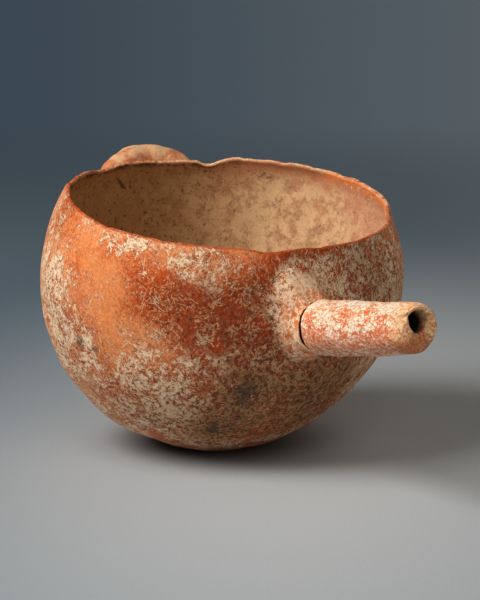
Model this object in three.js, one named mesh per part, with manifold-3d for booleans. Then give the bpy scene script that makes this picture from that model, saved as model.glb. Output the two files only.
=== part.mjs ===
// Spouted bowl of fired red clay, in millimetres, +Z up, with its spout toward +X.
// The origin is the middle of the small worn spot that the round bottom rests on.
// The bowl lies tipped toward its spout, so every piece is shaped upright about the
// centre of the belly, and one group then leans them all together.

import * as THREE from "three";
import { mergeVertices } from "three/addons/utils/BufferGeometryUtils.js";
import Module from "manifold-3d";

// Bowl: a ball of clay with a thin wall, open above.
const BELLY_RADIUS = 70;
const RIM_HEIGHT = 29.3;
const RIM_WALL = 3.2;
const BELLY_WALL = 5.5;
const BASE_WALL = 8;
const REST_SPOT_RADIUS = 13;
const LEAN_DEG = 9.8;
const LEAN_TOWARD_DEG = 4.6;

// Rim: hand-turned, so it is neither a true circle nor level, and one stretch is worn down.
const RIM_SPREAD = 0.8;
const RIM_OVAL = 2.2;
const RIM_OVAL_TOWARD_DEG = -52;
const RIM_THREE_SIDED = 2.8;
const RIM_THREE_SIDED_TOWARD_DEG = -35;
const RIM_SWAY = 1.2;
const RIM_SWAY_TOWARD_DEG = -36;
const RIM_RIPPLE = 0.8;
const RIM_RIPPLE_TOWARD_DEG = -25;
const RIM_WAVE_DEPTH = 38;
const WORN_DROP = 3.2;
const WORN_FROM_DEG = 154;
const WORN_TO_DEG = 238;
const WORN_SOFT_END_DEG = 14;
const WORN_SHARP_END_DEG = 4;
const WORN_DEPTH = 12;

// Belly: the places where the hand left it fuller or flatter than a true ball.
const HAND_MARKS = [
  { towardDeg: 62.5, above: 6, reach: 34, push: 1.5 },
  { towardDeg: 62.5, above: -50, reach: 34, push: -2.2 },
  { towardDeg: 242.5, above: -50, reach: 36, push: 2.3 },
  { towardDeg: 242.5, above: 26, reach: 22, push: 0.6 },
];

// Spout: a rolled tube, thinned at its root into a tenon that passes through the wall.
const SPOUT_ROOT_HEIGHT = 2;
const SPOUT_SLOPE_DEG = 19.4;
const SPOUT_LENGTH = 64.8;
const SPOUT_ROOT_RADIUS = 9.75;
const SPOUT_MIDDLE_RADIUS = 9.6;
const SPOUT_TIP_RADIUS = 8.3;
const SPOUT_TIP_ROUND = 3.4;
const BORE_RADIUS = 4.5;
const BORE_ROUND = 0.9;
const TENON_RADIUS = 7.2;
const TENON_PAST_WALL = 5.5;

// Chip: the broken place in the lip of the spout.
const CHIP_WIDTH = 7.5;
const CHIP_DEPTH = 4.2;
const CHIP_TOWARD_DEG = 250;

// Collar: clay smeared round the root of the spout, drawn up toward the rim on one side.
const COLLAR_REACH = 10.5;
const COLLAR_SIDE_FOOT = 14;
const COLLAR_RIDGE_FOOT = 24;
const COLLAR_RIDGE_TOWARD_DEG = 205;
const COLLAR_RIDGE_POWER = 3;
const COLLAR_EDGE = 0.8;
const SPOUT_CRACK = 0.6;

// Inner ring: clay smeared round the end of the tenon, inside the bowl.
const RING_FOOT = 13.5;
const RING_THICK = 3;
const RING_EDGE = 0.8;

// Handle: a round roll of clay bent to a loop, tilted up, opposite the spout.
const HANDLE_TOWARD_DEG = 176;
const HANDLE_BELOW_RIM = 21.3;
const HANDLE_TILT_DEG = 43;
const HANDLE_RADIUS = 5.5;
const HANDLE_HALF_SPACING = 21.3;
const HANDLE_REACH = 21.4;
const HANDLE_SOCKET = 2.4;
const PAD_REACH = 9;
const PAD_LIP_WALL = 0.8;
const PAD_LOWER_FOOT = 12;
const PAD_UPPER_FOOT = 9.5;
const PAD_EDGE = 0.7;

// Fit and fineness.
const GAP = 0.3;
const SINK = 3;
const BOWL_SIDES = 64;
const BOWL_STEP_DEG = 7;
const TUBE_SIDES = 32;
const ROLL_SIDES = 14;
const ROLL_STEPS = 30;
const ROUND_STEPS = 5;
const FLARE_STEPS = 6;
const BORE_ROUND_STEPS = 2;
const PAST_RIM_DEG = 22;
const MERGE_DISTANCE = 0.0001;

const REST_HEIGHT = Math.sqrt(BELLY_RADIUS ** 2 - REST_SPOT_RADIUS ** 2);
const QUARTER = Math.PI / 2;
const rad = THREE.MathUtils.degToRad;

const wasm = await Module();
wasm.setup();

// A closed solid from the triangles of a geometry.
function solidFrom(geometry) {
  const bare = new THREE.BufferGeometry();
  bare.setAttribute("position", geometry.getAttribute("position"));
  bare.setIndex(geometry.getIndex());
  const merged = mergeVertices(bare, MERGE_DISTANCE);
  const index = merged.getIndex().array;
  const kept = [];
  for (let i = 0; i < index.length; i += 3) {
    const [a, b, c] = [index[i], index[i + 1], index[i + 2]];
    if (a !== b && b !== c && c !== a) {
      kept.push(a, b, c);
    }
  }
  const mesh = new wasm.Mesh({
    numProp: 3,
    vertProperties: new Float32Array(merged.getAttribute("position").array),
    triVerts: new Uint32Array(kept),
  });
  return new wasm.Manifold(mesh);
}

// A geometry from the triangles of a closed solid.
function geometryFrom(solid) {
  const mesh = solid.getMesh();
  const geometry = new THREE.BufferGeometry();
  geometry.setAttribute("position", new THREE.BufferAttribute(new Float32Array(mesh.vertProperties), 3));
  geometry.setIndex(new THREE.BufferAttribute(new Uint32Array(mesh.triVerts), 1));
  geometry.computeVertexNormals();
  return geometry;
}

function clayMesh(name, geometry, color, roughness) {
  const material = new THREE.MeshStandardMaterial({ color, roughness, metalness: 0 });
  const mesh = new THREE.Mesh(geometry, material);
  mesh.name = name;
  return mesh;
}

// Each vertex of a geometry is moved by the same rule.
function moveVertices(geometry, rule) {
  const position = geometry.getAttribute("position");
  const point = new THREE.Vector3();
  for (let i = 0; i < position.count; i += 1) {
    point.fromBufferAttribute(position, i);
    rule(point);
    position.setXYZ(i, point.x, point.y, point.z);
  }
  return geometry;
}

// Hand shaping of the bowl. The wall's two faces and all that touches them follow it.
function wornShare(angleDeg) {
  const start = THREE.MathUtils.smoothstep(angleDeg, WORN_FROM_DEG - WORN_SHARP_END_DEG, WORN_FROM_DEG);
  const end = THREE.MathUtils.smoothstep(angleDeg, WORN_TO_DEG - WORN_SOFT_END_DEG, WORN_TO_DEG);
  return start * (1 - end);
}

function wave(sides, angle, towardDeg) {
  return Math.cos(sides * (angle - rad(towardDeg)));
}

function markCentre(mark) {
  const flat = Math.sqrt(BELLY_RADIUS ** 2 - mark.above ** 2);
  const toward = rad(mark.towardDeg);
  return new THREE.Vector3(flat * Math.cos(toward), flat * Math.sin(toward), mark.above);
}

function handPush(point) {
  const angle = Math.atan2(point.y, point.x);
  const turnDeg = THREE.MathUtils.euclideanModulo(THREE.MathUtils.radToDeg(angle), 360);
  const rimShare = THREE.MathUtils.smoothstep(point.z, RIM_HEIGHT - RIM_WAVE_DEPTH, RIM_HEIGHT);
  const wornDepthShare = THREE.MathUtils.smoothstep(point.z, RIM_HEIGHT - WORN_DEPTH, RIM_HEIGHT);
  let outward = RIM_SPREAD * rimShare;
  outward += RIM_OVAL * rimShare * wave(2, angle, RIM_OVAL_TOWARD_DEG);
  outward += RIM_THREE_SIDED * rimShare * wave(3, angle, RIM_THREE_SIDED_TOWARD_DEG);
  let upward = RIM_SWAY * rimShare * wave(2, angle, RIM_SWAY_TOWARD_DEG);
  upward += RIM_RIPPLE * rimShare * wave(3, angle, RIM_RIPPLE_TOWARD_DEG);
  upward -= WORN_DROP * wornShare(turnDeg) * wornDepthShare;
  const share = outward / BELLY_RADIUS;
  const push = new THREE.Vector3(point.x * share, point.y * share, upward);
  for (const mark of HAND_MARKS) {
    const away = point.distanceTo(markCentre(mark)) / mark.reach;
    push.addScaledVector(point, (mark.push * Math.exp(-away * away)) / BELLY_RADIUS);
  }
  return push;
}

function shapeByHand(point) {
  point.add(handPush(point));
}

// Turned shape about Z from profile points of (radius, height).
function turned(profile, sides) {
  const points = profile.map(([radius, height]) => new THREE.Vector2(radius, height));
  return new THREE.LatheGeometry(points, sides).rotateX(QUARTER);
}

// Wall thickness by the angle above the belly's widest line.
const RIM_ANGLE = Math.asin((RIM_HEIGHT - RIM_WALL / 2) / (BELLY_RADIUS - RIM_WALL / 2));

function wallAt(angle) {
  if (angle < 0) {
    return BELLY_WALL + (BASE_WALL - BELLY_WALL) * Math.sin(angle) ** 2;
  }
  return BELLY_WALL + (RIM_WALL - BELLY_WALL) * THREE.MathUtils.smoothstep(angle, 0, RIM_ANGLE);
}

function angleSteps(from, to) {
  const count = Math.ceil((to - from) / rad(BOWL_STEP_DEG));
  return Array.from({ length: count + 1 }, (_, i) => from + ((to - from) * i) / count);
}

function onArc(radius, angle) {
  const flat = Math.abs(angle + QUARTER) < MERGE_DISTANCE ? 0 : radius * Math.cos(angle);
  return [flat, radius * Math.sin(angle)];
}

// The bowl: up the outside, over the round rim and down the inside.
function bowlGeometry() {
  const angles = angleSteps(-QUARTER, RIM_ANGLE);
  const outside = angles.map((angle) => onArc(BELLY_RADIUS, angle));
  const [rimFlat, rimZ] = onArc(BELLY_RADIUS - RIM_WALL / 2, RIM_ANGLE);
  const rim = [];
  for (let i = 1; i < ROUND_STEPS; i += 1) {
    const turn = RIM_ANGLE + (Math.PI * i) / ROUND_STEPS;
    rim.push([rimFlat + (RIM_WALL / 2) * Math.cos(turn), rimZ + (RIM_WALL / 2) * Math.sin(turn)]);
  }
  const inside = angles.map((angle) => onArc(BELLY_RADIUS - wallAt(angle), angle)).reverse();
  return moveVertices(turned([...outside, ...rim, ...inside], BOWL_SIDES), shapeByHand);
}

// A filled body whose outside is the bowl's outer face, moved out or in by an offset.
function filledBowl(offset) {
  const angles = angleSteps(-QUARTER, RIM_ANGLE + rad(PAST_RIM_DEG));
  const face = angles.map((angle) => onArc(BELLY_RADIUS + offset, angle));
  const top = face[face.length - 1][1];
  return solidFrom(moveVertices(turned([...face, [0, top]], BOWL_SIDES), shapeByHand));
}

// A filled body whose outside is the bowl's inner face, moved in by an offset.
function filledCavity(offset) {
  const angles = angleSteps(-QUARTER, RIM_ANGLE);
  const face = angles.map((angle) => onArc(BELLY_RADIUS - wallAt(angle) - offset, angle));
  const top = face[face.length - 1][1];
  return solidFrom(moveVertices(turned([...face, [0, top]], BOWL_SIDES), shapeByHand));
}

// A seat is a place on the wall with an axis that leads outward. Along it, a piece is
// made about its own Z axis, with zero at the bowl's outer face.
function seatOnWall(towardDeg, height, across, slopeDeg) {
  const out = Math.sqrt(BELLY_RADIUS ** 2 - height ** 2 - across ** 2);
  const seat = new THREE.Object3D();
  seat.position.set(out, across, height);
  seat.rotation.set(0, QUARTER - rad(slopeDeg), 0);
  seat.updateMatrix();
  const turn = new THREE.Matrix4().makeRotationZ(rad(towardDeg));
  seat.applyMatrix4(turn);
  return seat;
}

// How far along a seat's axis the hand-shaped wall is met, beside the axis. The ball's
// radius is that of the outer or the inner face.
function wallAlong(seat, beside, angle, ballRadius) {
  const start = new THREE.Vector3(beside * Math.cos(angle), beside * Math.sin(angle), 0);
  start.applyMatrix4(seat.matrix);
  const axis = new THREE.Vector3(0, 0, 1).transformDirection(seat.matrix);
  const along = start.dot(axis);
  const meet = (radius) => Math.sqrt(along ** 2 - start.lengthSq() + radius ** 2) - along;
  const met = start.clone().addScaledVector(axis, meet(ballRadius));
  const pushed = handPush(met).dot(met) / met.length();
  return meet(ballRadius + pushed);
}

// Clay smeared round a tube: a hollow curve from the lip by the tube out to the wall.
// The tube, as wide as its fit asks, is cut out of it. The profile's heights are levels
// at first: one at the lip, zero at the foot and less inside the wall.
const AT_LIP = 1;
const IN_WALL = -1;

function smearedCollar(seat, size, tube) {
  const profile = [
    [0, IN_WALL],
    [size.sideFoot, IN_WALL],
  ];
  for (let i = FLARE_STEPS; i > 0; i -= 1) {
    const turn = (QUARTER * i) / FLARE_STEPS;
    profile.push([size.sideFoot - (size.sideFoot - size.lip) * Math.cos(turn), AT_LIP - Math.sin(turn)]);
  }
  profile.push([size.lip, AT_LIP], [0, AT_LIP]);
  const collar = turned(profile, TUBE_SIDES);
  moveVertices(collar, (point) => {
    const angle = Math.atan2(point.y, point.x);
    const flat = Math.hypot(point.x, point.y);
    const foot = size.footAt(angle);
    const grown = size.lip + ((flat - size.lip) * (foot - size.lip)) / (size.sideFoot - size.lip);
    const wide = flat > size.lip ? grown : flat;
    const wall = wallAlong(seat, wide, angle, BELLY_RADIUS);
    const lipWall = wallAlong(seat, size.lip, angle, BELLY_RADIUS);
    const overWall = (size.reach - lipWall - size.edge) * point.z + size.edge;
    const outer = flat > size.lip ? wall + overWall : size.reach;
    const high = point.z > IN_WALL / 2 ? outer : wall - SINK;
    point.set(wide * Math.cos(angle), wide * Math.sin(angle) + size.bendAt(high), high);
  });
  collar.applyMatrix4(seat.matrix);
  return solidFrom(collar).subtract(tube).subtract(filledBowl(GAP));
}

// Clay smeared round the tenon's end, inside the bowl.
function smearedRing(seat) {
  const bore = TENON_RADIUS + GAP;
  const profile = [[bore, -RING_THICK]];
  for (let i = 1; i <= ROUND_STEPS; i += 1) {
    const turn = (QUARTER * i) / ROUND_STEPS;
    const fall = (RING_THICK - RING_EDGE) * (1 - Math.cos(turn));
    profile.push([bore + (RING_FOOT - bore) * Math.sin(turn), fall - RING_THICK]);
  }
  profile.push([RING_FOOT, SINK], [bore, SINK], [bore, -RING_THICK]);
  const ring = turned(profile, TUBE_SIDES);
  moveVertices(ring, (point) => {
    const angle = Math.atan2(point.y, point.x);
    const flat = Math.hypot(point.x, point.y);
    point.z += wallAlong(seat, flat, angle, BELLY_RADIUS - BELLY_WALL);
  });
  ring.applyMatrix4(seat.matrix);
  return solidFrom(ring).intersect(filledCavity(GAP));
}

// Straight round rod along a seat's axis, to cut holes with.
function rodOnSeat(seat, radius, from, to) {
  const profile = [
    [0, from],
    [radius, from],
    [radius, to],
    [0, to],
  ];
  const rod = turned(profile, TUBE_SIDES);
  rod.applyMatrix4(seat.matrix);
  return solidFrom(rod);
}

const spoutSeat = seatOnWall(0, SPOUT_ROOT_HEIGHT, 0, SPOUT_SLOPE_DEG);
const tenonEnd = -BELLY_WALL - TENON_PAST_WALL;

// The spout: bore, tenon, shoulder and a long, slightly swollen tube with a round lip.
function spoutGeometry() {
  const shoulder = COLLAR_REACH + SPOUT_CRACK;
  const tip = COLLAR_REACH + SPOUT_LENGTH;
  const roundStart = tip - SPOUT_TIP_ROUND;
  const pull = 2 * SPOUT_MIDDLE_RADIUS - (SPOUT_ROOT_RADIUS + SPOUT_TIP_RADIUS) / 2;
  const side = new THREE.QuadraticBezierCurve(
    new THREE.Vector2(SPOUT_ROOT_RADIUS, shoulder),
    new THREE.Vector2(pull, (shoulder + roundStart) / 2),
    new THREE.Vector2(SPOUT_TIP_RADIUS, roundStart),
  );
  const profile = [
    [BORE_RADIUS, tenonEnd],
    [TENON_RADIUS, tenonEnd],
    [TENON_RADIUS, shoulder],
    ...side.getPoints(2 * ROUND_STEPS).map((point) => [point.x, point.y]),
  ];
  const inward = SPOUT_TIP_RADIUS - BORE_RADIUS - BORE_ROUND;
  for (let i = 1; i <= ROUND_STEPS; i += 1) {
    const turn = (QUARTER * i) / ROUND_STEPS;
    const flat = SPOUT_TIP_RADIUS - inward * (1 - Math.cos(turn));
    profile.push([flat, roundStart + SPOUT_TIP_ROUND * Math.sin(turn)]);
  }
  for (let i = 1; i <= BORE_ROUND_STEPS; i += 1) {
    const turn = (QUARTER * i) / BORE_ROUND_STEPS;
    const flat = BORE_RADIUS + BORE_ROUND * (1 - Math.sin(turn));
    profile.push([flat, tip - BORE_ROUND * (1 - Math.cos(turn))]);
  }
  profile.push([BORE_RADIUS, tenonEnd]);
  return turned(profile, TUBE_SIDES);
}

// The chip leaves a pointed gap in the lip, on one side of the bore.
function chipGeometry() {
  const outline = new THREE.Shape();
  outline.moveTo(-CHIP_WIDTH / 2, SINK);
  outline.lineTo(0, -CHIP_DEPTH);
  outline.lineTo(CHIP_WIDTH / 2, SINK);
  outline.closePath();
  const chip = new THREE.ExtrudeGeometry(outline, { depth: SPOUT_ROOT_RADIUS, bevelEnabled: false });
  chip.rotateX(QUARTER);
  chip.translate(0, SPOUT_ROOT_RADIUS + BORE_RADIUS / 2, COLLAR_REACH + SPOUT_LENGTH);
  chip.rotateZ(rad(CHIP_TOWARD_DEG) - QUARTER);
  return chip;
}

// How far the loop has bent inward from its leg's own line, some way out of the wall.
function loopBend(out) {
  return HANDLE_HALF_SPACING * (1 - Math.sqrt(1 - (Math.max(out, 0) / HANDLE_REACH) ** 2));
}

// The handle's path: straight legs inside the wall, joined by half an oval outside it.
class LoopPath extends THREE.Curve {
  constructor(legLength) {
    super();
    this.legLength = legLength;
  }

  getPoint(share, target = new THREE.Vector3()) {
    const legShare = this.legLength / (2 * this.legLength + Math.PI * HANDLE_REACH);
    if (share < legShare) {
      return target.set(0, -HANDLE_HALF_SPACING, -this.legLength * (1 - share / legShare));
    }
    if (share > 1 - legShare) {
      return target.set(0, HANDLE_HALF_SPACING, -this.legLength * (1 - (1 - share) / legShare));
    }
    const turn = (Math.PI * (share - legShare)) / (1 - 2 * legShare);
    return target.set(0, -HANDLE_HALF_SPACING * Math.cos(turn), HANDLE_REACH * Math.sin(turn));
  }
}

function rollGeometry(radius, legLength) {
  const section = new THREE.Shape();
  for (let i = 0; i < ROLL_SIDES; i += 1) {
    const turn = (2 * Math.PI * i) / ROLL_SIDES;
    const corner = [radius * Math.cos(turn), radius * Math.sin(turn)];
    if (i === 0) {
      section.moveTo(...corner);
    } else {
      section.lineTo(...corner);
    }
  }
  section.closePath();
  const settings = { steps: ROLL_STEPS, bevelEnabled: false, extrudePath: new LoopPath(legLength) };
  return new THREE.ExtrudeGeometry(section, settings);
}

// The loop's own seat lies between its two roots, and each pad sits on a root.
const handleRootHeight = RIM_HEIGHT - HANDLE_BELOW_RIM;
const rootSeats = [-1, 1].map((side) =>
  seatOnWall(HANDLE_TOWARD_DEG, handleRootHeight, side * HANDLE_HALF_SPACING, HANDLE_TILT_DEG),
);
const loopSeat = new THREE.Object3D();
loopSeat.position.addVectors(rootSeats[0].position, rootSeats[1].position).multiplyScalar(1 / 2);
loopSeat.quaternion.copy(rootSeats[0].quaternion);
loopSeat.updateMatrix();

function rollOnWall(radius, depth) {
  const legLength = 2 * (radius + depth);
  const roll = rollGeometry(radius, legLength);
  roll.applyMatrix4(loopSeat.matrix);
  return solidFrom(roll).subtract(filledBowl(-depth));
}

const tenonRoom = rodOnSeat(spoutSeat, TENON_RADIUS + GAP, tenonEnd - SINK, COLLAR_REACH + SPOUT_CRACK);
const rollRoom = rollOnWall(HANDLE_RADIUS + GAP, HANDLE_SOCKET + GAP);

function bowlSolid() {
  const ground = new THREE.BoxGeometry(BELLY_RADIUS, BELLY_RADIUS, BELLY_RADIUS);
  ground.translate(0, 0, -BELLY_RADIUS / 2);
  ground.applyMatrix4(vessel.matrix.clone().invert());
  return solidFrom(bowlGeometry()).subtract(tenonRoom).subtract(rollRoom).subtract(solidFrom(ground));
}

// The group that tips the whole vessel toward its spout, about the belly's centre.
const vessel = new THREE.Group();
vessel.position.set(0, 0, REST_HEIGHT);
const leanAxis = new THREE.Vector3(-Math.sin(rad(LEAN_TOWARD_DEG)), Math.cos(rad(LEAN_TOWARD_DEG)), 0);
vessel.quaternion.setFromAxisAngle(leanAxis, rad(LEAN_DEG));
vessel.updateMatrix();

const collarSize = {
  lip: SPOUT_ROOT_RADIUS,
  reach: COLLAR_REACH,
  sideFoot: COLLAR_SIDE_FOOT,
  edge: COLLAR_EDGE,
  footAt: (angle) => {
    const share = ((1 + wave(1, angle, COLLAR_RIDGE_TOWARD_DEG)) / 2) ** COLLAR_RIDGE_POWER;
    return COLLAR_SIDE_FOOT + (COLLAR_RIDGE_FOOT - COLLAR_SIDE_FOOT) * share;
  },
  bendAt: () => 0,
};

function padSolid(side) {
  const size = {
    lip: HANDLE_RADIUS + GAP + PAD_LIP_WALL,
    reach: PAD_REACH,
    sideFoot: PAD_LOWER_FOOT,
    edge: PAD_EDGE,
    footAt: (angle) => PAD_LOWER_FOOT + ((PAD_UPPER_FOOT - PAD_LOWER_FOOT) * (1 - Math.cos(angle))) / 2,
    bendAt: (high) => -side * loopBend(high),
  };
  return smearedCollar(rootSeats[side < 0 ? 0 : 1], size, rollRoom);
}

const spout = solidFrom(spoutGeometry()).subtract(solidFrom(chipGeometry()));
const spoutGroup = new THREE.Group();
spoutGroup.position.copy(spoutSeat.position);
spoutGroup.quaternion.copy(spoutSeat.quaternion);
spoutGroup.add(clayMesh("spout_tube", geometryFrom(spout), 0xd9a88c, 0.7));

const collar = smearedCollar(spoutSeat, collarSize, tenonRoom);
const ring = smearedRing(spoutSeat);
const handle = rollOnWall(HANDLE_RADIUS, HANDLE_SOCKET);

vessel.add(clayMesh("bowl_shell", geometryFrom(bowlSolid()), 0xb8623a, 0.5));
vessel.add(spoutGroup);
vessel.add(clayMesh("spout_collar", geometryFrom(collar), 0xd3a58a, 0.7));
vessel.add(clayMesh("spout_inner_ring", geometryFrom(ring), 0xb8946a, 0.85));
vessel.add(clayMesh("loop_handle", geometryFrom(handle), 0xd29a72, 0.65));
vessel.add(clayMesh("handle_pad_right", geometryFrom(padSolid(-1)), 0xc98f69, 0.7));
vessel.add(clayMesh("handle_pad_left", geometryFrom(padSolid(1)), 0xc98f69, 0.7));

const group = new THREE.Group();
group.add(vessel);

export default group;
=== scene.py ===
# A spouted bowl of burnished red clay, worn and scratched, in metres, +Z up, spout toward +X.
# It is put together as the potter did: the bowl, the spout through its wall, the clay smeared
# round the spout outside and inside, then the loop handle and the clay round its two roots.
import math

import bpy
import numpy as np
from mathutils import Matrix, Vector


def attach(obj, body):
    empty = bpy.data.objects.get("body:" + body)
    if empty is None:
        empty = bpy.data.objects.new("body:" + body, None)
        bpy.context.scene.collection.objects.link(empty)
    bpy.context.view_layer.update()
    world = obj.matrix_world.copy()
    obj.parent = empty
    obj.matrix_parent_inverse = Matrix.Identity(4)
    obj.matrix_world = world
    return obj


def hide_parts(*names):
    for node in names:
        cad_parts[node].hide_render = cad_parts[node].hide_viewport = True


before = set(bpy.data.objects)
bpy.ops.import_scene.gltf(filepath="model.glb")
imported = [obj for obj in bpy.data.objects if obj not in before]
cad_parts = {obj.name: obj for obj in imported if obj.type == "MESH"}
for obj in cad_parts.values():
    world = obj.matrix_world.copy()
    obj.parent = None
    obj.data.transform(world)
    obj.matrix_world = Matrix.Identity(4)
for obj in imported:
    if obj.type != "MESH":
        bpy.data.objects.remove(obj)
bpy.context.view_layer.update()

# The bowl: a ball of red clay, opened by hand to a thin wall, so it is neither quite round nor
# level. It was coated with red slip, rubbed with a pebble until it shone, and fired. It has
# since worn through to the paler clay, and it leans toward its spout on a small worn spot.
MM = 0.001
BELLY_RADIUS = 70 * MM
RIM_HEIGHT = 29.3 * MM
RIM_WALL = 2.2 * MM
BELLY_WALL = 5.5 * MM
BASE_WALL = 8 * MM
REST_SPOT_RADIUS = 13 * MM
LEAN = math.radians(9.8)
LEAN_TOWARD = math.radians(4.6)

# What the hands left. Waves: how many go round, where the first is highest, in degrees, and how
# high. Hand marks: degrees round, height over the belly line, reach and swell, in millimetres.
# Rim chips: degrees round, width and depth, in millimetres.
RIM_SPREAD = 0.8 * MM
RIM_WAVE_DEPTH = 38 * MM
OUTWARD_WAVES = ((2, -52, 2.2 * MM), (3, -35, 2.8 * MM))
UPWARD_WAVES = ((2, -36, 1.2 * MM), (3, -25, 0.8 * MM))
WORN_DROP = 2.1 * MM
WORN_DEPTH = 12 * MM
WORN_FROM = (147, 160)
WORN_TO = (224, 238)
HAND_MARKS = (
    (62.5, 6, 34, 1.5), (62.5, -50, 34, -2.2), (242.5, -50, 36, 2.3), (242.5, 26, 22, 0.6),
    (70, 28, 12, -1.6),
)
LUMPS = 26
LUMP_SIZES = (11 * MM, 34 * MM)
LUMP_HEIGHT = 0.045 * MM
RIM_NICKS = 120
RIM_NICK_WIDTHS = (0.6 * MM, 2.2 * MM)
RIM_NICK_DEPTHS = (0.05 * MM, 0.34 * MM)
RIM_CHIPS = (
    (52, 2.4, 0.6), (60, 1.6, 0.7), (66, 2.6, 0.5), (241, 2, 0.4), (262, 2.5, 0.4), (159.5, 5, 1.4),
    (176, 9, 0.6), (190, 8, 0.6), (204, 9, 1.4), (232, 5, 1), (346, 8, 1.2),
)
BOWL_SIDES = 340
BOWL_STEP = math.radians(1.05)
RIM_STEPS = 9
MERGE_REACH = 0.01 * MM
SEED = 11

REST_HEIGHT = math.sqrt(BELLY_RADIUS**2 - REST_SPOT_RADIUS**2)
QUARTER = math.pi / 2
lean_axis = Vector((-math.sin(LEAN_TOWARD), math.cos(LEAN_TOWARD), 0))
vessel = Matrix.Translation((0, 0, REST_HEIGHT)) @ Matrix.Rotation(LEAN, 4, lean_axis)
dice = np.random.default_rng(SEED)


def smooth(values, low, high):
    share = np.clip((values - low) / (high - low), 0, 1)
    return share * share * (3 - 2 * share)


def quarter(steps, first=1):
    """The angles of a quarter turn, step by step."""
    return [QUARTER * i / steps for i in range(first, steps + 1)]


def on_ball(turn_deg, above):
    """A place on the ball, by degrees round it from the spout and height over the belly line."""
    flat = math.sqrt(BELLY_RADIUS**2 - above**2)
    turn = math.radians(turn_deg)
    return np.array((flat * math.cos(turn), flat * math.sin(turn), above))


def near(points, centre, reach):
    away = np.linalg.norm(points - centre, axis=1) / reach
    return np.exp(-away * away)


lump_ways = dice.normal(size=(LUMPS, 3))
lump_ways /= np.linalg.norm(lump_ways, axis=1)[:, None]
lump_ways *= 2 * math.pi / dice.uniform(*LUMP_SIZES, LUMPS)[:, None]
lump_starts = dice.uniform(0, 2 * math.pi, LUMPS)


def lumps(points):
    """Soft unevenness that fingers leave in clay: many long shallow waves, crossing."""
    return LUMP_HEIGHT * np.sin(points @ lump_ways.T + lump_starts).sum(axis=1)


def round_axis(points):
    """How far each point is turned round Z, and how far it lies from it."""
    return np.arctan2(points[:, 1], points[:, 0]), np.hypot(points[:, 0], points[:, 1])


def hand_push(points):
    """How far the hand left each point of the true ball from its place."""
    angle, _ = round_axis(points)
    turn = np.degrees(angle) % 360
    at_rim = smooth(points[:, 2], RIM_HEIGHT - RIM_WAVE_DEPTH, RIM_HEIGHT)
    outward = RIM_SPREAD + sum(h * np.cos(n * (angle - math.radians(d))) for n, d, h in OUTWARD_WAVES)
    upward = sum(h * np.cos(n * (angle - math.radians(d))) for n, d, h in UPWARD_WAVES) * at_rim
    worn = smooth(turn, *WORN_FROM) * (1 - smooth(turn, *WORN_TO))
    upward = upward - WORN_DROP * worn * smooth(points[:, 2], RIM_HEIGHT - WORN_DEPTH, RIM_HEIGHT)
    push = points * (outward * at_rim / BELLY_RADIUS)[:, None]
    push[:, 2] = upward
    swell = lumps(points)
    for turn_deg, above, reach, height in HAND_MARKS:
        swell = swell + height * MM * near(points, on_ball(turn_deg, above * MM), reach * MM)
    return push + points * (swell / BELLY_RADIUS)[:, None]


def points_of(piece):
    flat = np.empty(len(piece.data.vertices) * 3)
    piece.data.vertices.foreach_get("co", flat)
    return flat.reshape(-1, 3)


def place_points(piece, points):
    piece.data.vertices.foreach_set("co", points.ravel())
    piece.data.update()


def just_added(name):
    piece = bpy.context.active_object
    piece.name = piece.data.name = name
    return piece


def closed_up():
    """Merges what meets, turns all faces outward and leaves edit mode, shaded smooth."""
    bpy.ops.mesh.select_all(action="SELECT")
    bpy.ops.mesh.remove_doubles(threshold=MERGE_REACH)
    bpy.ops.mesh.normals_make_consistent(inside=False)
    bpy.ops.object.mode_set(mode="OBJECT")
    bpy.ops.object.shade_smooth()


def spun(name, profile, sides):
    """A turned body: one vertex, extruded from point to point of its profile, then spun."""
    bpy.ops.object.select_all(action="DESELECT")
    bpy.ops.mesh.primitive_circle_add(vertices=3, radius=MM)
    piece = just_added(name)
    bpy.ops.object.mode_set(mode="EDIT")
    bpy.ops.mesh.merge(type="CENTER")
    bpy.ops.transform.translate(value=(profile[0][0], 0, profile[0][1]))
    for here, there in zip(profile, profile[1:]):
        step = (there[0] - here[0], 0, there[1] - here[1])
        bpy.ops.mesh.extrude_vertices_move(TRANSFORM_OT_translate={"value": step})
    bpy.ops.mesh.select_all(action="SELECT")
    bpy.ops.mesh.spin(steps=sides, angle=2 * math.pi, center=(0, 0, 0), axis=(0, 0, 1))
    closed_up()
    return piece


RIM_ANGLE = math.asin((RIM_HEIGHT - RIM_WALL / 2) / (BELLY_RADIUS - RIM_WALL / 2))


def wall_at(angle):
    """Wall thickness by the angle over the belly line: thick below, thin at the rim."""
    below = BELLY_WALL + (BASE_WALL - BELLY_WALL) * np.sin(angle) ** 2
    above = BELLY_WALL + (RIM_WALL - BELLY_WALL) * smooth(angle, 0, RIM_ANGLE)
    return np.where(angle < 0, below, above)


def arc_point(radius, angle):
    flat = 0 if angle <= -QUARTER else radius * math.cos(angle)
    return (flat, radius * math.sin(angle))


steps = math.ceil((QUARTER + RIM_ANGLE) / BOWL_STEP)
angles = [-QUARTER + (QUARTER + RIM_ANGLE) * i / steps for i in range(steps + 1)]
crest_flat, crest_height = arc_point(BELLY_RADIUS - RIM_WALL / 2, RIM_ANGLE)
bowl_profile = [arc_point(BELLY_RADIUS, angle) for angle in angles]
for i in range(1, RIM_STEPS):
    turn = RIM_ANGLE + math.pi * i / RIM_STEPS
    along = RIM_WALL / 2 * math.cos(turn)
    bowl_profile.append((crest_flat + along, crest_height + RIM_WALL / 2 * math.sin(turn)))
bowl_profile += [arc_point(BELLY_RADIUS - wall_at(angle), angle) for angle in reversed(angles)]

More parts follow.
